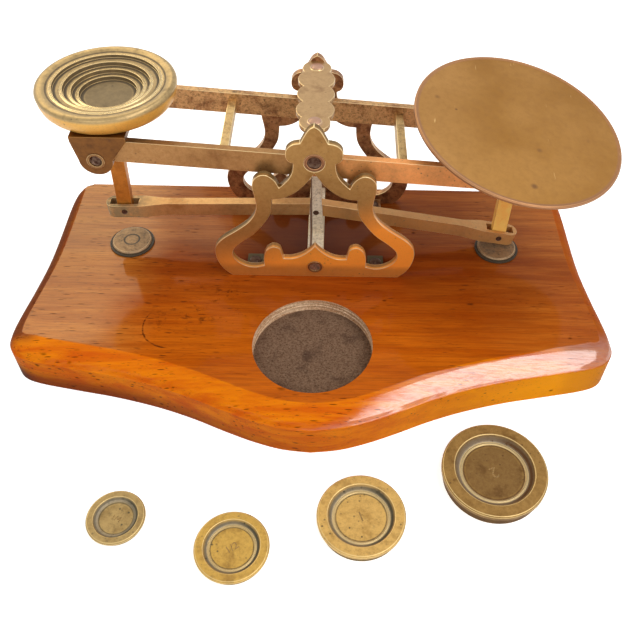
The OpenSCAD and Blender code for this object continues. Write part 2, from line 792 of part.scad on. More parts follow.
// a turned weight: flat rim, recess with a sloping wall, and a side drawn in below the rim
module turned_weight(r, h, ringed) {
    dip = r * (ringed ? 0.125 : 0.13);
    recess = ringed
        ? [[0, h - dip], [r * 0.6, h - dip], [r * 0.605, h - dip + 0.35], [r * 0.63, h - dip + 0.35],
           [r * 0.645, h - dip + 0.1], [r * 0.72, h - dip * 0.55], [r * 0.745, h - 0.25], [r * 0.76, h]]
        : [[0, h - dip], [r * 0.55, h - dip], [r * 0.7, h - dip * 0.55], [r * 0.74, h - 0.3], [r * 0.755, h]];
    rotate_extrude($fn = 96) polygon(joined([
        [[0, 0]],
        recess,
        [
            [r - 0.5, h], [r, h - 0.5], [r, h * 0.7], [r - 0.5, h * 0.58], [r - 0.9, h * 0.5],
            [r - 0.9, 0.4], [r - 1.3, 0],
        ],
    ]));
}

module weight_2oz() {
    color("darkgoldenrod") translate(place_2oz) turned_weight(weight_r_2oz, weight_h_2oz, true);
}

module weight_1oz() {
    color("darkgoldenrod") translate(place_1oz) turned_weight(weight_r_1oz, weight_h_1oz, true);
}

module weight_half_oz() {
    color("darkgoldenrod") translate(place_half) turned_weight(weight_r_half, weight_h_half, true);
}

module weight_quarter_oz() {
    color("darkgoldenrod") translate(place_quarter)
        turned_weight(weight_r_quarter, weight_h_quarter, false);
}

wood_base();
recess_lining();
front_frame();
rear_frame();
frame_screws();
fulcrum_bushes();
tie_bar();
tie_screws();
top_bridge();
centre_standard();
stay_centre_pin();
rest_pad(left_x);  // left_rest_pad
rest_disc(left_x);  // left_rest_disc
rest_pad(right_x);  // right_rest_pad
rest_disc(right_x);  // right_rest_disc
rest_screws();
front_beam_bar();
rear_beam_bar();
cross_bars();
fulcrum_pins();
end_pivots(-arm);  // left_end_pivots
end_pivots(arm);  // right_end_pivots
left_hanger();
left_stem();
weight_cup();
cup_screw();
right_hanger();
right_stem();
letter_plate();
plate_screw();
stay_bar();
stay_end_pins();
weight_2oz();
weight_1oz();
weight_half_oz();
weight_quarter_oz();
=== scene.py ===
# %% [markdown]
# # A brass letter balance on a polished base
# Blender adds the looks here, and the frame comes first. The solids of the balance are already
# drawn to size, each in its own named node, so this lesson never moves them. It loads them,
# dresses a copy of each one with softened edges, and gives every surface a finish.

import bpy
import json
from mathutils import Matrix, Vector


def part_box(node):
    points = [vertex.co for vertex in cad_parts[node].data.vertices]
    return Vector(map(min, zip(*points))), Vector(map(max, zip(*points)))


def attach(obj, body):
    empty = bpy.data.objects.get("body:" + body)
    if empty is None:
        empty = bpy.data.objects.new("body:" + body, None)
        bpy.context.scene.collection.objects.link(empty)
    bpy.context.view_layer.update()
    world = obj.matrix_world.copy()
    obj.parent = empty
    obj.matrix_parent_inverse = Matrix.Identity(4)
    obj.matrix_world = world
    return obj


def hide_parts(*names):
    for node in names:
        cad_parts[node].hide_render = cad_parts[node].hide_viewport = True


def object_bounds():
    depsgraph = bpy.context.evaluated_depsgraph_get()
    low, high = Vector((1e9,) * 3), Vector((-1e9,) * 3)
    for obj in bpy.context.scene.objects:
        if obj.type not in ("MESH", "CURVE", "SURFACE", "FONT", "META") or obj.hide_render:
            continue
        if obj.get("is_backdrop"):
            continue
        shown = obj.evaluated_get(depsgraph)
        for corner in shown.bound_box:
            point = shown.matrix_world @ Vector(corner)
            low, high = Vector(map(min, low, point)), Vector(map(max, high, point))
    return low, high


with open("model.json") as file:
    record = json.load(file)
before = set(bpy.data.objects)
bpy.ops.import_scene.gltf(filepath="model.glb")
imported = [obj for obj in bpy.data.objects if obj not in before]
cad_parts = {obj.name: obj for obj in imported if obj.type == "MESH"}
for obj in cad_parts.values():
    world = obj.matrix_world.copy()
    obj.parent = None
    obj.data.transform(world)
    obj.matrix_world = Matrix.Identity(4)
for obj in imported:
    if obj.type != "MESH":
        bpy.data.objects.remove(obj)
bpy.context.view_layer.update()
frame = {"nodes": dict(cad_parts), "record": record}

# %% Blender's own modules
import json
from math import cos, pi, radians, sin

import bpy
from mathutils import Matrix, Quaternion, Vector

MM = 0.001
bpy.ops.object.select_all(action="DESELECT")
bpy.context.scene.view_settings.view_transform = "Standard"


# %% Places read from the frame, in millimetres
def middle(node):
    """The middle of a node's box."""
    low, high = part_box(node)
    return [(a + b) / 2 / MM for a, b in zip(low, high)]


BASE_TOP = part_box("wood_base")[1][2] / MM
MOULDING_FOOT = BASE_TOP - 4.8
WELL = middle("recess_lining")[:2]
WELL_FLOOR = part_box("recess_lining")[0][2] / MM
WELL_RADIUS = 24.4
FRONT_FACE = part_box("front_frame")[0][1] / MM
print("base top", round(BASE_TOP, 2), "well at", [round(c, 2) for c in WELL])

# %% [markdown]
# ## The camera
# The picture is taken from in front, nearly fifty degrees above the table and quite close, so the
# front of the base looms and its back runs together. A long lens would lose that. The camera is
# placed by two angles about a point on the base and rolled a little, and a small shift frames the
# view.

# %% Place the camera
AIM = Vector((12.78, -43.62, 20.0)) * MM
AZIMUTH, ELEVATION, ROLL = radians(-1.4), radians(47.59), radians(1.96)
DISTANCE = 322.43 * MM
FOCAL_PIXELS, CENTRE_X, CENTRE_Y, PICTURE = 760.1, 344.18, 305.39, 640


def look_from(aim, azimuth, elevation, roll, distance):
    """The matrix of a camera that stands that far from the aim and looks at it."""
    back = Vector((sin(azimuth) * cos(elevation), -cos(azimuth) * cos(elevation), sin(elevation)))
    level = Vector((cos(azimuth), sin(azimuth), 0))
    over = back.cross(level)
    right = cos(roll) * level + sin(roll) * over
    up = cos(roll) * over - sin(roll) * level
    turn = Matrix((right, up, back)).transposed().to_4x4()
    return Matrix.Translation(aim + back * distance) @ turn


lens = bpy.data.cameras.new("camera")
lens.lens = FOCAL_PIXELS / PICTURE * lens.sensor_width
lens.shift_x = (PICTURE / 2 - CENTRE_X) / PICTURE
lens.shift_y = (CENTRE_Y - PICTURE / 2) / PICTURE
lens.clip_start, lens.clip_end = 0.01, 20
camera = bpy.data.objects.new("camera", lens)
bpy.context.scene.collection.objects.link(camera)
camera.matrix_world = look_from(AIM, AZIMUTH, ELEVATION, ROLL, DISTANCE)
bpy.context.scene.camera = camera
print("lens", round(lens.lens, 1), "mm")

# %% [markdown]
# ## Sums on sockets
# A finish is a small network of nodes. Joining nodes by hand hides the thought behind them, so
# here a socket is wrapped in a class that can add, subtract, multiply and divide. Then a line of
# shader maths reads as it would on paper, and each sign adds one Math node.


# %% A socket that takes part in sums
class Value:
    """One output of a node, used in sums like a number."""

    def __init__(self, finish, socket):
        self.finish, self.socket = finish, socket

    def sum(self, operation, *terms):
        return self.finish.node("ShaderNodeMath", {"operation": operation}, dict(enumerate(terms)))

    def __add__(self, other):
        return self.sum("ADD", self, other)

    def __sub__(self, other):
        return self.sum("SUBTRACT", self, other)

    def __rsub__(self, other):
        return self.sum("SUBTRACT", other, self)

    def __mul__(self, other):
        return self.sum("MULTIPLY", self, other)

    def __truediv__(self, other):
        return self.sum("DIVIDE", self, other)

    __radd__, __rmul__ = __add__, __mul__

    def __abs__(self):
        return self.sum("ABSOLUTE", self)

    def step(self, low, high):
        """0 below low, 1 above high, and a smooth rise between."""
        return self.finish.node(
            "ShaderNodeMapRange", {"interpolation_type": "SMOOTHSTEP"},
            {"Value": self, "From Min": low, "From Max": high})

    def limited(self):
        return self.sum("MINIMUM", self.sum("MAXIMUM", self, 0.0), 1.0)


# %% [markdown]
# ## A finish and its nodes
# Every material here starts with the same shader and reads the place on the object in millimetres,
# so that grain and wear have their true size on every piece. One method makes any node: it sets
# the node up first and then fills or links its sockets.


# %% A material under construction
class Finish:
    """A material with a Principled shader, whose nodes come from one method."""

    def __init__(self, name, **constants):
        self.material = bpy.data.materials.new(name)
        self.material.use_nodes = True
        self.tree = self.material.node_tree
        self.shader = self.tree.nodes["Principled BSDF"]
        for socket, number in constants.items():
            self.shader.inputs[socket.replace("_", " ")].default_value = number
        place = self.node("ShaderNodeTexCoord", output="Object")
        self.place = self.vector("MULTIPLY", place, (1 / MM,) * 3)

    def node(self, kind, settings=None, sockets=None, output=0):
        made = self.tree.nodes.new(kind)
        for key, setting in (settings or {}).items():
            setattr(made, key, setting)
        for key, given in (sockets or {}).items():
            if isinstance(given, Value):
                self.tree.links.new(given.socket, made.inputs[key])
            else:
                made.inputs[key].default_value = given
        return Value(self, made.outputs[output])

    def vector(self, operation, a, b):
        return self.node("ShaderNodeVectorMath", {"operation": operation}, {0: a, 1: b})

    def mix(self, factor, a, b):
        """Colour a turning into colour b as the factor goes from 0 to 1."""
        return self.node("ShaderNodeMix", {"data_type": "RGBA"}, {0: factor, 6: a, 7: b}, 2)

    def noise(self, size, detail=3.0, rough=0.5, stretch=(1, 1, 1), shift=(0, 0, 0), warp=0.0):
        """Cloudy noise whose features are about that many millimetres across."""
        scaled = tuple(1 / (size * s) for s in stretch)
        at = self.vector("MULTIPLY", self.vector("ADD", self.place, shift), scaled)
        return self.node("ShaderNodeTexNoise", {}, {
            "Vector": at, "Scale": 1.0, "Detail": detail, "Roughness": rough, "Distortion": warp})

    def spots(self, spacing, low, high, stretch=(1, 1, 1), shift=(0, 0, 0)):
        """1 inside small round spots about that far apart, 0 between them."""
        scaled = tuple(1 / (spacing * s) for s in stretch)
        at = self.vector("MULTIPLY", self.vector("ADD", self.place, shift), scaled)
        sockets = {"Vector": at, "Scale": 1.0, "Randomness": 1.0}
        return 1 - self.node("ShaderNodeTexVoronoi", {}, sockets).step(low, high)

    def axes(self):
        """The place along X, Y and Z, each as a value in millimetres."""
        return [self.node("ShaderNodeSeparateXYZ", {}, {0: self.place}, k) for k in range(3)]

    def away(self, centre, flat=True):
        """Distance in millimetres from a point, or from the upright axis through it."""
        arm = self.vector("SUBTRACT", self.place, tuple(centre))
        if flat:
            arm = self.vector("MULTIPLY", arm, (1, 1, 0))
        return self.node("ShaderNodeVectorMath", {"operation": "LENGTH"}, {0: arm}, 1)

    def give(self, **outputs):
        for socket, made in outputs.items():
            self.tree.links.new(made.socket, self.shader.inputs[socket.replace("_", " ")])

    def bump(self, height, depth, strength=1.0):
        """Tilts the surface as if the height, from 0 to 1, were that many millimetres."""
        self.give(Normal=self.node(
            "ShaderNodeBump", {}, {"Height": height, "Distance": depth * MM, "Strength": strength}))


def line(value, at, half):
    """1 where the value is within half of a number, and fading to 0 beyond."""
    return 1 - abs(value - at).step(half * 0.5, half * 1.3)


def tint(red, green, blue):
    """A colour as the picture shows it, 0 to 255, as the linear colour a shader wants."""
    def linear(c):
        c /= 255
        return c / 12.92 if c <= 0.04045 else ((c + 0.055) / 1.055) ** 2.4
    return (linear(red), linear(green), linear(blue), 1.0)


# %% [markdown]
# ## French-polished mahogany
# The base is one board under many thin coats of shellac. Its grain runs along the beam. Below the
# polish the wood shifts between orange and red-brown in long streaks, with fine dark pores, and the
# polish itself is glossy but wavy, with dents and rubbed places. The colour, the wear and the waves
# come from stretched noise, and a clear coat makes the gloss.

# %% Mahogany: figure and grain
wood = Finish("french_polished_mahogany",
              Specular_IOR_Level=0.02, Coat_IOR=2.2, Coat_Roughness=0.08)
along, depth, high = wood.axes()
streaks = wood.noise(4.5, 5, 0.66, (12, 1, 1), warp=0.4)
clouds = wood.noise(40, 3, 0.55, (1.8, 1, 1), (20, 5, 0))
fine_grain = wood.noise(0.7, 4, 0.7, (22, 1, 1))
# Toward the back the wood is painted darker, a painted reflection of the dark room behind.
dark_reflection_to_back = (depth + clouds * 24).step(-62, 8)
dark_wood = wood.mix(dark_reflection_to_back, tint(182, 82, 6), tint(126, 50, 8))
light_wood = wood.mix(dark_reflection_to_back, tint(206, 104, 14), tint(158, 74, 18))
colour = wood.mix(streaks.step(0.3, 0.72), dark_wood, light_wood)
colour = wood.mix(clouds.step(0.5, 0.8) * 0.5, colour, tint(150, 58, 6))
print("figure:", len(wood.tree.nodes), "nodes")

# %% Mahogany: faded polish and a painted sheen at the left and the back
wander = wood.noise(22, 4, 0.6, (1.6, 1, 1), (3, 40, 0)) * 30 - 15
left = 1 - (along + wander).step(-92, -62)
right = (along + wander).step(62, 96) * 0.25
back = (depth + wander * 0.5).step(-18, 0) * 0.4
# The pale wood here is partly faded polish and partly a painted sheen of the window behind at the
# left.
faded_and_sheen = (left * 0.85 + right + back).limited()
pale_wood = wood.mix(streaks.step(0.3, 0.75), tint(174, 98, 30), tint(206, 132, 54))
colour = wood.mix(faded_and_sheen, colour, pale_wood)
colour = wood.mix(fine_grain.step(0.35, 0.75) * 0.42, colour, tint(104, 44, 8))
print("with faded polish:", len(wood.tree.nodes), "nodes")

# %% Mahogany: the moulding, worn and painted lighter as if lit from the front
moulding = 1 - high.step(BASE_TOP - 0.25, BASE_TOP - 0.05)
lit_honey = wood.mix(streaks.step(0.3, 0.7), tint(206, 86, 0), tint(236, 132, 2))
colour = wood.mix(moulding * 0.94, colour, lit_honey)
print("moulding above", round(MOULDING_FOOT, 2), "mm")

# %% Mahogany: its sides, in painted shade at the left and painted light at the right
painted_shade_low_left = (1 - high.step(2, 11)) * (1 - along.step(-90, 30))
colour = wood.mix(painted_shade_low_left * 0.85, colour, tint(120, 48, 4))
painted_light_right = (1 - high.step(MOULDING_FOOT - 0.8, MOULDING_FOOT)) * along.step(0, 110)
colour = wood.mix(painted_light_right * 0.85, colour, tint(255, 166, 0))
painted_shade_left_moulding = moulding * (1 - along.step(-116, -109)) * depth.step(-68, -60)
colour = wood.mix(painted_shade_left_moulding * 0.9, colour, tint(104, 52, 26))
painted_shadow_left_foot = (1 - high.step(2, 13)) * (1 - along.step(-122, -112))
colour = wood.mix(painted_shadow_left_foot * 0.85, colour, tint(56, 28, 14))
# The right side's moulding gets painted shade as well.
painted_shade_right_moulding = moulding * along.step(98, 106) * depth.step(-80, -62)
colour = wood.mix(painted_shade_right_moulding * 0.8, colour, tint(150, 72, 22))
print("with its sides:", len(wood.tree.nodes), "nodes")

# %% Mahogany: the dusty wall of the well
near_well = 1 - wood.away((*WELL, 0)).step(WELL_RADIUS + 0.5, WELL_RADIUS + 0.9)
well_wall = near_well * (1 - high.step(BASE_TOP - 0.5, BASE_TOP - 0.1))
turned = wood.noise(0.5, 3, 0.6, (40, 40, 1), (0, 0, 2)) * 0.5 + wood.noise(0.7, 5, 0.75) * 0.5
dusty = wood.mix(turned.step(0.38, 0.62), tint(166, 112, 70), tint(246, 216, 180))
colour = wood.mix(well_wall, colour, dusty)
print("well's wall at radius", WELL_RADIUS, "mm")

# %% Mahogany: pores, dents and a crescent scratch
CRESCENT_X, CRESCENT_Y, CRESCENT_RADIUS = -57, -56, 12.8
pores = wood.noise(0.36, 2, 0.5, (10, 1, 1), (0, 0, 3)).step(0.63, 0.72)
hazy = (1 - along.step(-70, -20)) * 0.22 + (1 - depth.step(-100, -84)) * 0.1
busy = (wood.noise(26, 3, 0.55, (1, 1, 1), (9, 2, 0)) + hazy).step(0.46, 0.62)
dashes = wood.spots(2.2, 0.08, 0.22, (4.4, 0.55, 1), (1, 4, 0)) * busy
dents = wood.spots(15, 0.02, 0.07, (1.4, 0.9, 1), (7, 3, 0))
rubbing = wood.noise(0.6, 4, 0.7, (26, 1, 1), (0, 6, 0))
arc = line(wood.away((CRESCENT_X, CRESCENT_Y, 0)) + wander * 0.14, CRESCENT_RADIUS, 0.34)
left_half = 1 - along.step(CRESCENT_X - 3, CRESCENT_X)
front_part = 1 - depth.step(CRESCENT_Y + 5, CRESCENT_Y + 7)
crescent = arc * left_half * front_part * (0.25 + rubbing.step(0.4, 0.55) * 0.75)
bruises = (wood.noise(3.4, 4, 0.7, (1.4, 1, 1), (5, 5, 5)).step(0.56, 0.66)
           * line(along, -46, 22) * line(depth, -46, 14))
marks = (dashes + dents + crescent + bruises * 0.7).limited()
colour = wood.mix(pores * (0.25 + busy * 0.4), colour, tint(74, 28, 4))
colour = wood.mix(marks * 0.8, colour, tint(60, 22, 4))
print("with its marks:", len(wood.tree.nodes), "nodes")

# %% Mahogany: the shade inside the frame, and the worn edges
in_frame = line(along, 0, 34) * depth.step(-26, -14) * (1 - depth.step(14, 22))
colour = wood.mix(in_frame * 0.82 * (1 - moulding), colour, tint(88, 36, 10))
worn_edge = wood.node("ShaderNodeAttribute", {"attribute_name": "worn_edge"}, output="Fac")
colour = wood.mix(worn_edge * 0.3, colour, tint(226, 150, 60))
print("with its edges:", len(wood.tree.nodes), "nodes")

# %% [markdown]
# ## What is left of the polish
# Hands have dulled most of the polish, and the camera sees a window in it only along the front, on
# the right slope of the moulding. A clear coat with the same weight everywhere would wash the whole
# base with the white of the room. So the weight is a mask too: full on that slope, broken by fine
# rubbing, and faint on the rest.

# %% Mahogany: the coat of polish
below_top = 1 - high.step(BASE_TOP - 0.1, BASE_TOP - 0.01)
on_slope = below_top * high.step(MOULDING_FOOT - 0.3, MOULDING_FOOT + 0.1)
in_front = 1 - depth.step(-66, -54)
toward_right = (along - (high - MOULDING_FOOT) * 7 + rubbing * 12).step(-4, 24)
glossy = on_slope * in_front * toward_right * (0.6 + rubbing.step(0.36, 0.6) * 0.4)
coat = 0.03 + faded_and_sheen * 0.14 * (1 - moulding) + glossy * 0.95 - marks * 0.1
wood.give(Base_Color=colour, Roughness=0.45 + faded_and_sheen * 0.15 + well_wall * 0.3,
          Coat_Weight=coat.limited() * (1 - well_wall))
waves = wood.noise(13, 3, 0.5, (2.4, 1, 1)) * 0.8 + fine_grain * 0.14 + turned * well_wall * 0.8
wood.bump(waves + rubbing * glossy * 0.12 - pores * 0.12 - marks * 0.6, depth=0.3, strength=0.5)
print(wood.material.name, len(wood.tree.nodes), "nodes")

# %% [markdown]
# ## Old brass
# Cast brass that was once lacquered: the high places and edges stay bright from handling, the flats
# go brown in patches, and dirt gathers as small specks. One function makes every brass of this
# balance, because only the shares of bright, brown and grime change from piece to piece. Edges
# carry an attribute, set when a piece is dressed, so the wear follows the real edge. Where a piece
# has corners that no cloth reaches, a small function says where its dirt lies, and some of these
# also paint shade. Other small functions paint the orange reflection of the wood onto some pieces,
# and give others a tone of their own.


# %% One function for all the brasses
def aged_brass(name, bright, brown, grime, patch=14, browned=0.5, dirt=0.3, rough=0.34, metal=0.7,
               worn=tint(240, 216, 166), dirt_and_shade=None, tone_and_reflection=None, flecks=0.0, hidden=None):
    """Brass from bright to brown to grime, with masks for dirt and painted shade, for tones and
    painted reflections, and for unworn edges.
    """
    brass = Finish(name)
    edge = brass.node("ShaderNodeAttribute", {"attribute_name": "worn_edge"}, output="Fac")
    if hidden:
        edge = edge * (1 - hidden(brass))
    patches = brass.noise(patch, 5, 0.62, shift=(11, 7, 3))
    cast = brass.noise(2.2, 4, 0.7)
    grain = brass.noise(0.7, 3, 0.7)
    scratches = brass.noise(0.45, 2, 0.5, (22, 1, 1)).step(0.62, 0.8)
    specks = brass.spots(2.4, 0.08, 0.22) * brass.noise(9, 3).step(0.48, 0.66)
    blotches = patches.step(0.66 - browned * 0.3, 0.88 - browned * 0.3)
    colour = brass.mix(blotches * 0.85, bright, brown)
    colour = brass.mix(cast.step(0.35, 0.78) * 0.5, colour, brown)
    shine = metal
    if tone_and_reflection:
        where, tone_and_reflection_colour = tone_and_reflection
        toned_and_reflected = where(brass, patches)
        colour = brass.mix(toned_and_reflected, colour, tone_and_reflection_colour)
        shine = metal - toned_and_reflected * 0.4
    colour = brass.mix(grain.step(0.55, 0.8) * 0.4, colour, grime)
    if flecks:
        pitted = brass.noise(1.2, 5, 0.78, shift=(7, 1, 8))
        colour = brass.mix(pitted.step(0.5, 0.62) * flecks, colour, grime)
        colour = brass.mix((1 - pitted.step(0.34, 0.44)) * flecks * 0.4, colour, worn)
    smears = brass.noise(5, 5, 0.7, shift=(2, 9, 4)).step(0.76 - dirt * 0.4, 0.96 - dirt * 0.3)
    dirtied_and_shaded = smears * dirt * 1.8 + specks * dirt * 2
    if dirt_and_shade:
        dirtied_and_shaded = dirtied_and_shaded + dirt_and_shade(brass, cast)
    dirtied_and_shaded = (dirtied_and_shaded * (1 - edge * 0.8)).limited()
    colour = brass.mix(dirtied_and_shaded, colour, grime)
    colour = brass.mix(edge * (0.4 + cast * 0.6), colour, worn)
    brass.give(Base_Color=colour, Metallic=edge * (1 - metal) + shine - dirtied_and_shaded * 0.5,
               Roughness=rough + patches * 0.14 + dirtied_and_shaded * 0.3 - scratches * 0.06 - edge * 0.1)
    brass.bump(cast * 0.6 + patches * 0.4 + grain * 0.2 + specks * 0.4 - scratches * 0.15,
               depth=0.1, strength=0.5)
    print(name, len(brass.tree.nodes), "nodes")
    return brass.material


# %% Dirt in the cup
SEAT_CORNERS = ((10.3, 0.8), (13.1, 0.65), (16, 0.7), (19.8, 0.7), (22.6, 0.4))


def in_cup(brass, cast):
    """Dirt in the corner at the foot of each seat's wall, and a film over the floor."""
    r = brass.away(middle("weight_cup"))
    corners = sum(line(r, radius, half) for radius, half in SEAT_CORNERS)
    film = (1 - r.step(20, 22.4)) * (0.14 + cast * 0.24) + (1 - r.step(8.6, 10)) * 0.4
    return corners * (0.4 + cast * 0.9) + film


# %% Dirt, grey and painted shade on a weight
SUNK_RING, RING_HALF = 0.665, 0.075


def radius_of(node):
    low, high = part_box(node)
    return (high[0] - low[0]) / 2 / MM


def on_weight(node):
    """Dirt round the recess of a weight, darker below its rim, and painted shade on the right of
    its sunk ring, at shares of its radius and height.
    """
    size, top = radius_of(node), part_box(node)[1][2] / MM

    def dirt_and_shade(brass, cast):
        r = brass.away(middle(node)) / size
        x, _, z = brass.axes()
        groove = line(r, 0.7, 0.03) * 0.6 + line(r, 0.575, 0.02) * 0.7
        film = cast.step(0.6, 0.8) * 0.3
        if node == "weight_2oz":
            film = (1 - r.step(0.52, 0.56)) * 0.34
        below = (1 - z.step(top * 0.5, top * 0.68)) * r.step(0.85, 0.95) * 0.7
        # Painted shade on the right half of the sunk ring, as if the light came from the left.
        shaded = line(r, SUNK_RING, RING_HALF) * (x - middle(node)[0]).step(0, size * 0.5) * 0.5
        return groove * (0.5 + cast * 0.7) + film + below + shaded

    return dirt_and_shade


def grey_ring(node):
    """The sunk ring of a weight, made a pale grey."""
    def where(brass, patches):
        r = brass.away(middle(node)) / radius_of(node)
        return line(r, SUNK_RING, RING_HALF) * (0.5 + patches * 0.6)

    return where


# %% Dirt on the stay, the disc, the frame and the standard
STAY_LEFT, DISC_SEAM, SCREW_RING = -84, -80, 3.3


def on_left_end(brass, cast):
    """Pale grey-green where the left end of the stay was never polished."""
    x = brass.axes()[0]
    return (1 - x.step(STAY_LEFT, STAY_LEFT + 18)) * 0.75 * cast.step(0.2, 0.6)


def on_disc(brass, cast):
    """A ring of dirt round the screw in the middle of the disc, and a half gone a little grey."""
    r = brass.away(middle("left_rest_disc"))
    x = brass.axes()[0]
    return line(r, SCREW_RING, 0.4) * 0.9 + (x + cast * 6).step(DISC_SEAM, DISC_SEAM + 3) * 0.12


def on_frame(brass, cast):
    """Dirt on the thickness of the front plate behind its rubbed face, and on its lugs."""
    y = brass.axes()[1] - FRONT_FACE
    return y.step(0.9, 1.5) * (0.35 + cast * 0.5) + y.step(3.4, 3.8) * 0.9


def on_lug(brass):
    """The lugs behind the front plate, whose edges no hand has rubbed."""
    return (brass.axes()[1] - FRONT_FACE).step(3.3, 3.6)


def on_standard(brass, cast):
    """A dark slit down the left edge of the standard."""
    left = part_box("centre_standard")[0][0] / MM
    return line(brass.axes()[0], left + 1.2, 0.55) * 0.95 + cast.step(0.6, 0.8) * 0.3


# %% Painted reflections of the wood on the brass, and other tones
def low_and_right(brass, patches):
    """A painted reflection of the orange wood on the legs of the frame, the right one most, and its
    foot less.
    """
    x, _, z = brass.axes()
    legs = (1 - (z - x * 0.35).step(32, 58)) * (0.85 + x.step(-6, 26) * 0.15) * (0.6 + patches)
    return (legs * (1 - line(z, BASE_TOP + 1, 6) * 0.55)).limited()


def right_half(brass, patches):
    """A painted reflection of the orange wood right of the fulcrum, in patches."""
    return brass.axes()[0].step(-12, 8) * (0.35 + patches).step(0.55, 1.1)


def on_bosses(brass, patches):
    """The flat bosses at both ends of the bridge, gone pinkish."""
    low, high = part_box("top_bridge")
    ends = (low[1] / MM + 5, high[1] / MM - 5)
    at = [brass.away(((low[0] + high[0]) / 2 / MM, y, 0)) for y in ends]
    return ((1 - at[0].step(2.4, 3.4)) + (1 - at[1].step(2.4, 3.4))) * (0.4 + patches)


def cup_side(brass, patches):
    """The outside of the cup below its lip, made a brighter yellow."""
    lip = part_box("weight_cup")[1][2] / MM
    z = brass.axes()[2]
    return (1 - z.step(lip - 2.6, lip - 1.2)) * brass.away(middle("weight_cup")).step(21, 22.5)


# %% The brasses of the frame
frame_brass = aged_brass(
    "frame_brass", tint(170, 130, 74), tint(138, 98, 48), tint(86, 74, 46), dirt=0.26,
    dirt_and_shade=on_frame, tone_and_reflection=(low_and_right, tint(255, 160, 58)), hidden=on_lug)
back_brass = aged_brass(
    "shaded_frame_brass", tint(190, 142, 96), tint(118, 72, 46), tint(66, 50, 36),
    patch=5, browned=0.75, dirt=0.45, flecks=0.5)
green_brass = aged_brass(
    "verdigris_brass", tint(240, 228, 204), tint(190, 172, 140), tint(100, 66, 44),
    patch=4, browned=0.5, dirt=0.25, rough=0.45, metal=0.3, dirt_and_shade=on_standard, flecks=0.4)
bridge_brass = aged_brass(
    "bridge_brass", tint(182, 148, 104), tint(146, 112, 76), tint(96, 74, 52), patch=7,
    worn=tint(214, 186, 140), tone_and_reflection=(on_bosses, tint(178, 136, 116)))
ring_brass = aged_brass(
    "ring_brass", tint(142, 104, 62), tint(104, 68, 38), tint(70, 48, 32), patch=3,
    worn=tint(214, 180, 130))
bush_brass = aged_brass(
    "bush_brass", tint(140, 98, 66), tint(92, 58, 42), tint(54, 34, 26), patch=3,
    worn=tint(200, 150, 110))

# %% The brasses of the beam
bar_brass = aged_brass(
    "bar_brass", tint(170, 126, 76), tint(130, 88, 46), tint(72, 56, 36), patch=20, dirt=0.36,
    tone_and_reflection=(right_half, tint(252, 168, 94)), flecks=0.12)
back_bar_brass = aged_brass(
    "back_bar_brass", tint(214, 170, 114), tint(140, 94, 58), tint(62, 46, 34),
    patch=6, browned=0.6, dirt=0.45, flecks=0.55)
cross_brass = aged_brass(
    "cross_bar_brass", tint(214, 180, 122), tint(150, 114, 66), tint(78, 58, 38),
    patch=4, flecks=0.35)
# The left hanger lies under the cup, and its darker browns are painted shade.
shaded_hanger_brass = aged_brass(
    "left_hanger_brass", tint(116, 72, 26), tint(74, 42, 14), tint(54, 38, 20), patch=6,
    worn=tint(190, 146, 86))
right_hanger_brass = aged_brass(
    "right_hanger_brass", tint(176, 132, 82), tint(134, 92, 50), tint(78, 60, 40), patch=6)
# The right stem is made bright as painted light from the window at the right, and the left one
# darker as painted shade.
shaded_stem_brass = aged_brass(
    "left_stem_brass", tint(196, 126, 46), tint(140, 82, 26), tint(90, 60, 30), dirt=0.2)
right_stem_brass = aged_brass(
    "right_stem_brass", tint(255, 206, 108), tint(255, 176, 78), tint(190, 126, 60),
    dirt=0.1, metal=0.0)
stay_brass = aged_brass(
    "stay_brass", tint(206, 160, 104), tint(168, 116, 62), tint(122, 112, 84), dirt=0.28,
    dirt_and_shade=on_left_end, tone_and_reflection=(right_half, tint(206, 148, 84)), flecks=0.12)

# %% The brasses of the cup and the rests
disc_brass = aged_brass(
    "disc_brass", tint(168, 134, 96), tint(112, 86, 60), tint(80, 72, 62), patch=3,
    dirt=0.6, rough=0.5, metal=0.5, dirt_and_shade=on_disc, worn=tint(200, 176, 140), flecks=0.45)
cup_brass = aged_brass(
    "cup_brass", tint(176, 149, 102), tint(134, 112, 74), tint(92, 78, 58), patch=6,
    dirt=0.36, rough=0.3, dirt_and_shade=in_cup, tone_and_reflection=(cup_side, tint(236, 178, 80)), flecks=0.14)

# %% The weights, each with its own dirt
weight_brass = {}
for node, bright, brown, grime in (
        ("weight_2oz", tint(146, 112, 58), tint(104, 70, 24), tint(84, 52, 16)),
        ("weight_1oz", tint(200, 162, 92), tint(156, 120, 60), tint(74, 66, 46)),
        ("weight_half_oz", tint(194, 156, 76), tint(152, 116, 54), tint(74, 68, 50)),
        ("weight_quarter_oz", tint(168, 142, 92), tint(136, 110, 66), tint(74, 68, 50))):
    weight_brass[node] = aged_brass(
        node + "_brass", bright, brown, grime, patch=6, browned=0.55,
        dirt=0.42, rough=0.5, dirt_and_shade=on_weight(node), tone_and_reflection=(grey_ring(node), tint(150, 138, 116)),
        worn=tint(208, 182, 128), flecks=0.2)

# %% [markdown]
# ## The letter plate's brass
# The letter plate is sheet brass, spun flat and lacquered, so it is even where the castings are
# blotched. Its colour drifts slowly, a few dark spots have come through the lacquer, and letters
# slid on and off have left fine scratches from front to back.

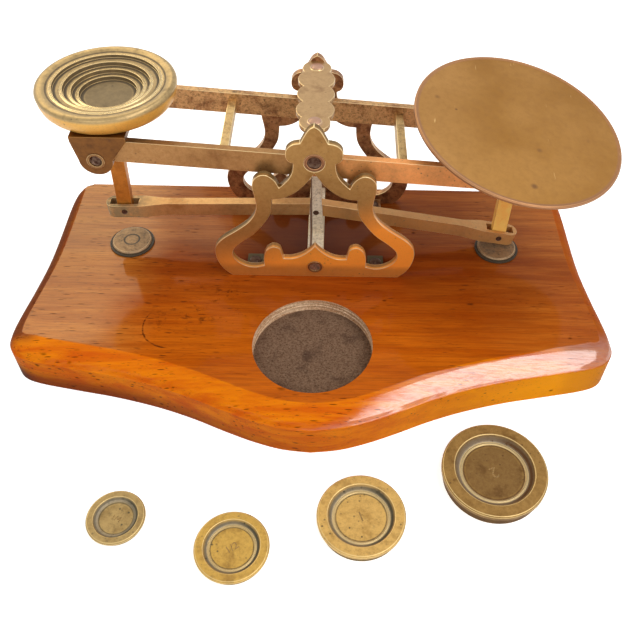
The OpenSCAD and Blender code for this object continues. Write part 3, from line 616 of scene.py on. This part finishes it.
# %% Sheet brass
sheet = Finish("letter_plate_brass", Metallic=0.8)
drift = sheet.noise(34, 4, 0.55, shift=(4, 2, 0))
haze = sheet.noise(3, 5, 0.7)
edge = sheet.node("ShaderNodeAttribute", {"attribute_name": "worn_edge"}, output="Fac")
rim = sheet.away(middle("letter_plate"), flat=False).step(41.6, 42.4)
spots = sheet.spots(17, 0.03, 0.12, shift=(5, 2, 0))
spots += sheet.spots(9, 0.03, 0.09, shift=(3, 3, 3)) * drift.step(0.5, 0.6)
used = sheet.noise(12, 2).step(0.5, 0.62)
nicks = sheet.noise(1.1, 2, 0.4, (1, 9, 4), (6, 1, 0)).step(0.72, 0.78) * used
colour = sheet.mix(drift.step(0.3, 0.72), tint(168, 122, 60), tint(148, 102, 38))
left_part = 1 - sheet.axes()[0].step(42, 78)
colour = sheet.mix(left_part * 0.35, colour, tint(190, 146, 90))
colour = sheet.mix(haze.step(0.35, 0.75) * 0.35, colour, tint(134, 94, 48))
colour = sheet.mix(nicks * 0.5, colour, tint(226, 186, 122))
colour = sheet.mix(rim * 0.55, colour, tint(150, 106, 82))
colour = sheet.mix(spots.limited() * 0.7, colour, tint(96, 62, 42))
colour = sheet.mix(edge * 0.6, colour, tint(196, 148, 112))
sheet.give(Base_Color=colour, Roughness=0.42 + haze * 0.12 - nicks * 0.1)
sheet.bump(drift * 0.5 + haze * 0.3 + nicks * 0.2, depth=0.12, strength=0.35)
print(sheet.material.name, len(sheet.tree.nodes), "nodes")

# %% [markdown]
# ## Iron, steel, leather and the worn lining
# Screws and pins are iron gone brown-black, apart from the two steel screws at the frame's foot.
# The rests stand on pads of old leather, and the floor of the weight well keeps the grey-brown fuzz
# of a lining long worn through.

# %% Dark iron
iron = Finish("dark_iron", Metallic=0.8)
rust = iron.noise(1.4, 4, 0.65).step(0.42, 0.68)
iron.give(Base_Color=iron.mix(rust, tint(98, 76, 62), tint(70, 40, 28)),
          Roughness=0.36 + rust * 0.3)
iron.bump(iron.noise(0.5, 3, 0.6), depth=0.06, strength=0.5)
print(iron.material.name, len(iron.tree.nodes), "nodes")

# %% Worn steel
steel = Finish("worn_steel", Metallic=0.9)
tarnish = steel.noise(1.1, 4, 0.65).step(0.4, 0.66)
steel.give(Base_Color=steel.mix(tarnish, tint(186, 172, 152), tint(96, 84, 70)),
           Roughness=0.32 + tarnish * 0.3)
steel.bump(steel.noise(0.5, 3, 0.6), depth=0.06, strength=0.5)
print(steel.material.name, len(steel.tree.nodes), "nodes")

# %% Leather
leather = Finish("old_leather")
pits = leather.spots(0.7, 0.2, 0.5)
hide = leather.mix(leather.noise(2, 4, 0.6), tint(40, 34, 26), tint(78, 66, 48))
leather.give(Base_Color=hide, Roughness=0.6 + pits * 0.3)
leather.bump(pits + leather.noise(0.4, 3), depth=0.12, strength=0.6)
print(leather.material.name, len(leather.tree.nodes), "nodes")

# %% Worn lining
lining = Finish("worn_lining", Specular_IOR_Level=0.2)
fuzz = lining.noise(0.7, 6, 0.8)
threads = lining.noise(0.35, 3, 0.6, (6, 1, 1), (0, 0, 5))
bare = lining.noise(10, 4, 0.6).step(0.5, 0.72)
dust = lining.mix(fuzz.step(0.3, 0.7), tint(74, 50, 34), tint(148, 118, 94))
dust = lining.mix(bare * 0.7, dust, tint(64, 44, 34))
lining.give(Base_Color=lining.mix(threads.step(0.6, 0.75) * 0.5, dust, tint(176, 156, 128)),
            Roughness=0.85 + fuzz * 0.1)
lining.bump(fuzz + threads * 0.5, depth=0.5, strength=0.8)
print(lining.material.name, len(lining.tree.nodes), "nodes")

# %% [markdown]
# ## Dressing a solid
# A drawn solid has knife edges, and nothing looks more like a computer drawing. A copy of each
# solid has its loose triangles merged, the flat faces joined, and every hard edge given a narrow
# bevel that catches the light. The bevel's own faces are marked, and the brass wears bright there.


# %% Work on one object alone
def only(piece, mode="OBJECT"):
    """Selects one piece and nothing else, and enters the mode."""
    if bpy.context.object and bpy.context.object.mode != "OBJECT":
        bpy.ops.object.mode_set(mode="OBJECT")
    bpy.ops.object.select_all(action="DESELECT")
    bpy.context.view_layer.objects.active = piece
    piece.select_set(True)
    bpy.ops.object.mode_set(mode=mode)


def settle(piece, body, material):
    """Gives a piece its finish and lets it ride on its body."""
    piece.data.materials.clear()
    piece.data.materials.append(material)
    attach(piece, body)


# %% Soften the edges of a piece
def softened(piece, width, segments=2, angle=38):
    """Bevels the hard edges, marks the bevels as worn, and shades the rest smooth."""
    only(piece)
    if width:
        piece.data.materials.clear()
        for name in ("flat", "edge"):
            piece.data.materials.append(bpy.data.materials.new(name))
        bpy.ops.object.modifier_add(type="BEVEL")
        bevel = piece.modifiers[-1]
        bevel.width, bevel.segments, bevel.material = width * MM, segments, 1
        bevel.limit_method, bevel.angle_limit = "ANGLE", radians(angle)
        bpy.ops.object.modifier_apply(modifier=bevel.name)
    worn = piece.data.attributes.new("worn_edge", "FLOAT", "FACE")
    worn.data.foreach_set("value", [float(face.material_index) for face in piece.data.polygons])
    for face in piece.data.polygons:
        face.material_index = 0
    bpy.ops.object.shade_smooth_by_angle(angle=radians(angle))
    bpy.ops.object.modifier_add(type="WEIGHTED_NORMAL")
    piece.modifiers[-1].keep_sharp = True
    bpy.ops.object.modifier_apply(modifier=piece.modifiers[-1].name)


# %% Pick faces or points by their place
def pick(piece, kind, wanted):
    """Enters edit mode with only the wanted faces or points selected, told by place and normal."""
    only(piece, "EDIT")
    bpy.ops.mesh.select_mode(type=kind)
    bpy.ops.mesh.select_all(action="DESELECT")
    bpy.ops.object.mode_set(mode="OBJECT")
    if kind == "FACE":
        for face in piece.data.polygons:
            face.select = wanted(face.center / MM, face.normal)
        found = sum(face.select for face in piece.data.polygons)
    else:
        for point in piece.data.vertices:
            point.select = wanted(point.co / MM, point.normal)
        found = sum(point.select for point in piece.data.vertices)
    bpy.ops.object.mode_set(mode="EDIT")
    return found


# %% Copy a solid and merge it
bodies = frame["record"]["behaviour"]["bodies"]
body_of = {node: body for body, nodes in bodies.items() for node in nodes}
end_x = [middle(side + "_end_pivots")[0] for side in ("left", "right")]
holes = {"front_beam_bar": (end_x[0], 0, end_x[1]), "rear_beam_bar": (end_x[0], 0, end_x[1]),
         "front_frame": (0,), "rear_frame": (0,)}


def merged_copy(node, through=()):
    """A copy of a node's mesh as a piece of its own, merged into whole faces.

    A face with holes in it has no clean outline, so it is cut upright through each hole first, and
    the cuts are marked as seams, which stay when the other lines between flat faces go.
    """
    piece = bpy.data.objects.new(node + "_finished", frame["nodes"][node].data.copy())
    bpy.context.scene.collection.objects.link(piece)
    only(piece, "EDIT")
    bpy.ops.mesh.select_all(action="SELECT")
    bpy.ops.mesh.remove_doubles(threshold=0.002 * MM)
    bpy.ops.mesh.customdata_custom_splitnormals_clear()
    for x in through:
        bpy.ops.mesh.select_all(action="SELECT")
        bpy.ops.mesh.bisect(plane_co=(x * MM, 0, 0), plane_no=(1, 0, 0))
        bpy.ops.mesh.mark_seam()
    bpy.ops.mesh.select_all(action="SELECT")
    bpy.ops.mesh.dissolve_limited(angle_limit=radians(0.4), delimit={"SEAM"})
    bpy.ops.object.mode_set(mode="OBJECT")
    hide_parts(node)
    return piece


def dressed(node, material, width):
    piece = merged_copy(node, holes.get(node, ()))
    softened(piece, width)
    settle(piece, body_of[node], material)


# %% Dress the solids
finishes = {
    "front_frame": (frame_brass, 0.4),
    "rear_frame": (back_brass, 0.35),
    "fulcrum_bushes": (bush_brass, 0.25),
    "tie_bar": (green_brass, 0.4),
    "top_bridge": (bridge_brass, 0.3),
    "centre_standard": (green_brass, 0.3),
    "front_beam_bar": (bar_brass, 0.4),
    "rear_beam_bar": (back_bar_brass, 0.3),
    "cross_bars": (cross_brass, 0.35),
    "left_hanger": (shaded_hanger_brass, 0.4),
    "right_hanger": (right_hanger_brass, 0.3),
    "left_stem": (shaded_stem_brass, 0.35),
    "right_stem": (right_stem_brass, 0.35),
    "stay_bar": (stay_brass, 0.4),
    "left_rest_disc": (disc_brass, 0.1),
    "right_rest_disc": (disc_brass, 0.1),
    "weight_cup": (cup_brass, 0.16),
    "letter_plate": (sheet.material, 0.1),
    "weight_2oz": (weight_brass["weight_2oz"], 0.2),
    "weight_1oz": (weight_brass["weight_1oz"], 0.18),
    "weight_half_oz": (weight_brass["weight_half_oz"], 0.16),
    "weight_quarter_oz": (weight_brass["weight_quarter_oz"], 0.15),
    "left_rest_pad": (leather.material, 0.2),
    "right_rest_pad": (leather.material, 0.2),
    "recess_lining": (lining.material, 0),
    "frame_screws": (iron.material, 0.1),
    "rest_screws": (disc_brass, 0),
    "stay_centre_pin": (iron.material, 0.1),
    "cup_screw": (iron.material, 0.1),
    "plate_screw": (iron.material, 0.1),
}
for node, (material, width) in finishes.items():
    dressed(node, material, width)
print("dressed", len(finishes), "solids")

# %% [markdown]
# ## Hollow-ended pins
# The pins of old balances were centred in the lathe, so each end has a small cup in it, dark with
# oil. The drawn pins are plain cylinders. A copy keeps them and gets its ends inset and pushed in.

# %% Cup the ends of the pins
for node, rim_width, sink in (("fulcrum_pins", 0.9, 0.5), ("left_end_pivots", 0.7, 0.9),
                              ("right_end_pivots", 0.7, 0.9), ("stay_end_pins", 0.45, 0.35)):
    pins = merged_copy(node)
    found = pick(pins, "FACE", lambda place, normal: abs(normal.y) > 0.9)
    bpy.ops.mesh.inset(thickness=rim_width * MM, depth=-sink * MM)
    softened(pins, 0.12)
    settle(pins, body_of[node], iron.material)
    print(node, found, "ends cupped")

# %% [markdown]
# ## The base and the well's wall
# The well for the weights was turned on a faceplate, and the tool left shallow grooves in its wall.
# The drawn bore is smooth. The wall's faces are cut level at a few heights, and the rings of points
# in the grooves are scaled outward about a third of a millimetre, well above the lining.

# %% Turn grooves into the wall
base = merged_copy("wood_base")


def near_wall(place):
    """True inside and on the wall of the well."""
    return (Vector(place[:2]) - Vector(WELL)).length < WELL_RADIUS + 0.4


def on_wall(place, normal):
    return near_wall(place) and abs(normal.z) < 0.4 and place.z > WELL_FLOOR - 0.1


# Each height in millimetres has the depth of its groove, which is 0 at the level cuts between them
cuts = {14.2: 0, 14.8: 0.35, 15.4: 0, 16.2: 0, 16.7: 0.4, 17.3: 0, 18.1: 0, 18.5: 0.3, 19.0: 0}
for height in cuts:
    pick(base, "FACE", on_wall)
    bpy.ops.mesh.bisect(plane_co=(0, 0, height * MM), plane_no=(0, 0, 1))
for height, groove in cuts.items():
    if groove:
        points = pick(base, "VERT",
                      lambda place, normal: abs(place.z - height) < 0.02 and near_wall(place))
        grow = (WELL_RADIUS + groove) / WELL_RADIUS
        centre = Vector((*WELL, height)) * MM
        bpy.ops.transform.resize(value=(grow, grow, 1), center_override=centre)
        print("groove at", height, "mm:", points, "points")

# %% Finish the base
softened(base, 0.35)
settle(base, body_of["wood_base"], wood.material)
print(base.name, len(base.data.polygons), "faces")

# %% [markdown]
# ## Rings and the tie screws
# Each hanger's eye has a turned ring round its pivot, and the screws at the frame's foot sit in a
# ring of their own, with a slot for the driver. A cylinder is the start. Its two ends are inset and
# bridged, which leaves a tube. The screw's head is cut across twice, and the strip between is sunk.


# %% A ring facing front or back
def upright_disc(name, x, y, z, radius, thick):
    """A cylinder lying along Y, with its middle at that place in millimetres."""
    if bpy.context.object and bpy.context.object.mode != "OBJECT":
        bpy.ops.object.mode_set(mode="OBJECT")
    bpy.ops.object.select_all(action="DESELECT")
    bpy.ops.mesh.primitive_cylinder_add(vertices=48, radius=radius * MM, depth=thick * MM,
                                        location=(x * MM, y * MM, z * MM), rotation=(pi / 2, 0, 0))
    piece = bpy.context.object
    piece.name = piece.data.name = name
    bpy.ops.object.transform_apply(location=True, rotation=True, scale=True)
    return piece


def ring(name, x, y, z, outer, inner, thick, body, material):
    piece = upright_disc(name, x, y, z, outer, thick)
    pick(piece, "FACE", lambda place, normal: abs(normal.y) > 0.9)
    bpy.ops.mesh.inset(thickness=(outer - inner) * MM)
    bpy.ops.mesh.bridge_edge_loops()
    softened(piece, 0.12)
    settle(piece, body, material)


for side, body in (("left", "cup_carrier"), ("right", "plate_carrier")):
    x, _, z = middle(side + "_end_pivots")
    low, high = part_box(side + "_hanger")
    for end, y in (("front", low[1] / MM - 0.1), ("rear", high[1] / MM + 0.1)):
        ring(f"{side}_eye_ring_{end}", x, y, z, outer=3.4, inner=2.42, thick=0.5,
             body=body, material=ring_brass)
print("eye rings: 4")

# %% The tie screws
SLOT_HALF, SLOT_DEPTH = 0.35, 0.28
x, _, z = middle("tie_screws")
face = -FRONT_FACE
for end, side in (("front", -1), ("rear", 1)):
    ring(f"tie_screw_ring_{end}", x, side * (face + 0.3), z, outer=3.2, inner=2.3, thick=0.6,
         body="base", material=ring_brass)
    head = upright_disc(f"tie_screw_{end}", x, side * (face + 0.18), z, radius=2.28, thick=0.4)
    for cut in (-SLOT_HALF, SLOT_HALF):
        only(head, "EDIT")
        bpy.ops.mesh.select_all(action="SELECT")
        bpy.ops.mesh.bisect(plane_co=((x + cut) * MM, 0, 0), plane_no=(1, 0, 0))
    pick(head, "FACE", lambda place, normal: normal.y * side > 0.9 and abs(place.x - x) < 0.3)
    sunk = (0, -side * SLOT_DEPTH * MM, 0)
    bpy.ops.mesh.extrude_region_move(TRANSFORM_OT_translate={"value": sunk})
    softened(head, 0.05)
    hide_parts("tie_screws")
    settle(head, "base", steel.material)
print("tie screws: 2")

# %% [markdown]
# ## Numbers on the weights
# Each weight has its number of ounces struck into its floor. A text object gives the figure. It is
# made a mesh, and lies on the floor as thin as a hair, in the dark brown that fills such marks.

# %% Struck numbers
struck = Finish("struck_number", Metallic=0.5)
worn = struck.noise(0.5, 3, 0.6)
struck.give(Base_Color=struck.mix(worn.step(0.32, 0.56), tint(96, 72, 42), tint(150, 118, 68)),
            Roughness=0.45 + worn * 0.2)
struck.bump(worn, depth=0.04, strength=0.5)

# Each figure has its height, its turn in degrees, and the floor's depth as a share of the radius
figures = {"weight_2oz": ("2", 6.5, 200, 0.125), "weight_1oz": ("1", 5.6, 20, 0.125),
           "weight_half_oz": ("1/2", 3.8, 35, 0.125), "weight_quarter_oz": ("1/4", 3.0, -20, 0.13)}
for node, (text, size, turn, share) in figures.items():
    x, y, _ = middle(node)
    floor_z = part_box(node)[1][2] / MM - radius_of(node) * share
    bpy.ops.object.mode_set(mode="OBJECT")
    bpy.ops.object.select_all(action="DESELECT")
    bpy.ops.object.text_add(location=Vector((x, y, floor_z + 0.01)) * MM,
                            rotation=(0, 0, radians(turn)))
    figure = bpy.context.object
    figure.data.body, figure.data.size, figure.data.extrude = text, size * MM, 0.02 * MM
    figure.data.align_x, figure.data.align_y = "CENTER", "CENTER"
    bpy.ops.object.convert(target="MESH")
    figure.name = node + "_number"
    bpy.ops.object.transform_apply(location=True, rotation=True, scale=True)
    settle(figure, body_of[node], struck.material)
print("numbers: 4")

# %% [markdown]
# ## The light
# The picture is lit by a tall window at the right front, which draws the long highlight on the
# moulding, by a wide one behind at the left, which pales the polish there, and by soft light from
# the front. Three area lamps stand for them, and a pale world fills the shade. The world and the
# floor look white to the camera and in reflections, but light the object only at a plain level.

# %% The world
world = bpy.data.worlds.new("pale_room")
bpy.context.scene.world = world
world.use_nodes = True
tree = world.node_tree
sky = tree.nodes["Background"]
seen = tree.nodes.new("ShaderNodeBackground")
seen.inputs["Color"].default_value = (1, 1, 1, 1)
sky.inputs["Color"].default_value = (0.93, 0.96, 1.0, 1)
sky.inputs["Strength"].default_value = 0.45
path = tree.nodes.new("ShaderNodeLightPath")
join = tree.nodes.new("ShaderNodeMixShader")
total = path.outputs["Is Camera Ray"]
for also in ("Is Glossy Ray", "Is Transmission Ray"):
    either = tree.nodes.new("ShaderNodeMath")
    either.operation = "MAXIMUM"
    tree.links.new(total, either.inputs[0])
    tree.links.new(path.outputs[also], either.inputs[1])
    total = either.outputs[0]
tree.links.new(total, join.inputs[0])
tree.links.new(sky.outputs[0], join.inputs[1])
tree.links.new(seen.outputs[0], join.inputs[2])
tree.links.new(join.outputs[0], tree.nodes["World Output"].inputs["Surface"])
print("world:", len(tree.nodes), "nodes")


# %% The lamps
def window(name, toward, away, width, height, bright, colour=(1, 1, 1), roll=0.0):
    """A lit rectangle in that direction, turned to the balance, with its surface that bright."""
    light = bpy.data.lights.new(name, "AREA")
    light.shape, light.size, light.size_y = "RECTANGLE", width, height
    light.energy, light.color = bright * pi * width * height, colour
    lamp = bpy.data.objects.new(name, light)
    bpy.context.scene.collection.objects.link(lamp)
    lamp.location = Vector(toward).normalized() * away
    lamp.rotation_mode = "QUATERNION"
    aimed = (-lamp.location).to_track_quat("-Z", "Y")
    lamp.rotation_quaternion = aimed @ Quaternion((0, 0, 1), roll)
    print(name, round(light.energy, 1), "W")


window("window_right_front", toward=(0.49, -0.31, 0.82), away=1.19, width=0.46, height=2.0,
       bright=3.4, colour=(1, 0.97, 0.95), roll=radians(-40))
window("window_left_behind", toward=(-0.543, 0.507, 0.669), away=1.3, width=1.2, height=0.34,
       bright=3.6, colour=(1, 0.87, 0.55))
window("soft_front", toward=(-0.3, -0.78, 0.55), away=1.4, width=1.0, height=0.6,
       bright=1.6, colour=(1, 0.97, 0.92))

# %% The floor
bpy.ops.object.select_all(action="DESELECT")
bpy.ops.mesh.primitive_plane_add(size=6)
floor = bpy.context.object
floor.name = "floor"
floor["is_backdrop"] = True
paper = Finish("white_table", Specular_IOR_Level=0.0, Roughness=0.9)
paper.shader.inputs["Base Color"].default_value = (0.6, 0.6, 0.6, 1)
glow = paper.node("ShaderNodeEmission", {}, {"Strength": 0.6})
chalk = paper.node("ShaderNodeBsdfDiffuse", {}, {"Color": (0.95, 0.95, 0.95, 1)})
white = paper.node("ShaderNodeAddShader", {}, {0: glow, 1: chalk})
shown = sum(paper.node("ShaderNodeLightPath", {}, {}, f"Is {ray} Ray")
            for ray in ("Camera", "Glossy", "Transmission")).limited()
grey = Value(paper, paper.shader.outputs[0])
table = paper.node("ShaderNodeMixShader", {}, {0: shown, 1: grey, 2: white})
paper.tree.links.new(table.socket, paper.tree.nodes["Material Output"].inputs["Surface"])
floor.data.materials.append(paper.material)
print("floor", [round(side, 1) for side in floor.dimensions], "m")

# %% [markdown]
# ## Sizes and the end
# The box round the dressed model is printed at the end. The dressed model has to stay
# inside the drawn one.

# %% Print the size of the dressed model
low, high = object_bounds()
print("size", [round((b - a) / MM, 2) for a, b in zip(low, high)], "mm")
